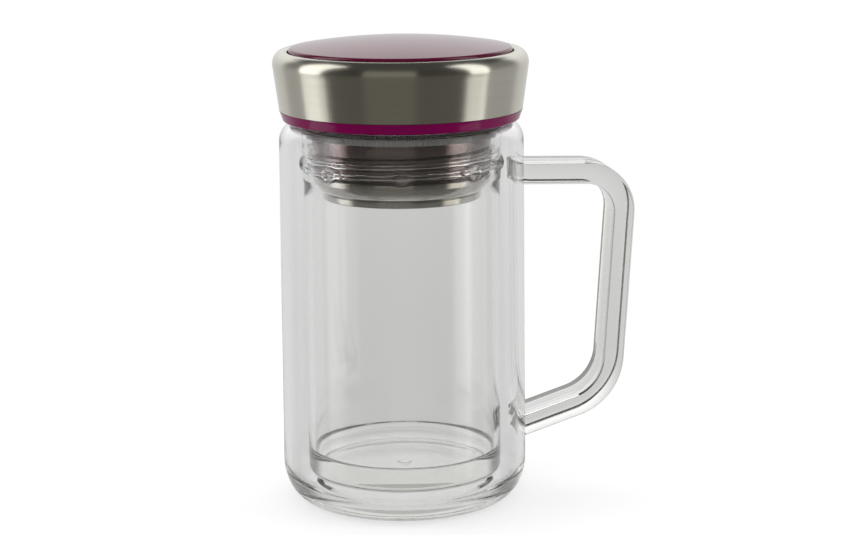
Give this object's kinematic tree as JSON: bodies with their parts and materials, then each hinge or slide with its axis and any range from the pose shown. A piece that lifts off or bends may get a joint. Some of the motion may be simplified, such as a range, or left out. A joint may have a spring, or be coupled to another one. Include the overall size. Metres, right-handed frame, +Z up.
{
  "type": "glass mug with screw lid",
  "caption": "Double-wall glass mug with a glass strap handle, a screw lid with steel band and domed disc, and a push-on tea strainer under the lid's plug.",
  "frame": {"origin": "centre of the foot ring, on the mug's axis, on the surface the mug stands on", "axes": "+Z up along the mug's axis, +X towards the handle"},
  "size_m": [0.1148, 0.0808, 0.1488],
  "materials": {
    "clear_glass": "clear, fire-polished",
    "brushed_band": "fine brushing round the band",
    "disc_gloss": "high gloss",
    "pad_foam": "matt",
    "core_plastic": "as moulded",
    "collar_gloss": "gloss",
    "plug_plastic": "satin, as moulded",
    "plate_steel": "satin",
    "silicone": "translucent, matt",
    "strainer_steel": "polished, fine brushing round"
  },
  "bodies": {
    "mug": {"outer_glass": "clear_glass", "inner_glass": "clear_glass", "glass_handle": "clear_glass", "base_seal_tip": "clear_glass"},
    "gasket": {"rim_gasket": "silicone"},
    "lid": {"steel_band": "brushed_band", "top_disc": "disc_gloss", "disc_pad": "pad_foam", "lid_core": "core_plastic", "collar": "collar_gloss", "screw_plug": "plug_plastic", "plug_plate": "plate_steel"},
    "strainer": {"strainer_bowl": "strainer_steel", "strainer_mesh": "strainer_steel", "strainer_ring": "strainer_steel", "strainer_seal": "silicone"}
  },
  "joints": [
    {"name": "lid_rise", "type": "slide", "parent": "mug", "child": "gasket", "axis": [0, 0, 1], "range_m": [0, 0.0096]},
    {"name": "lid_turn", "type": "hinge", "parent": "gasket", "child": "lid", "pos_m": [0, 0, 0.1231], "axis": [0, 0, 1], "range_deg": [0, 1080]},
    {"name": "strainer_pull", "type": "slide", "parent": "lid", "child": "strainer", "axis": [0, 0, -1], "range_m": [0, 0.02]}
  ],
  "couplings": [
    {"joint": "lid_rise", "follows": "lid_turn", "m_per_rad": 0.00050929}
  ]
}
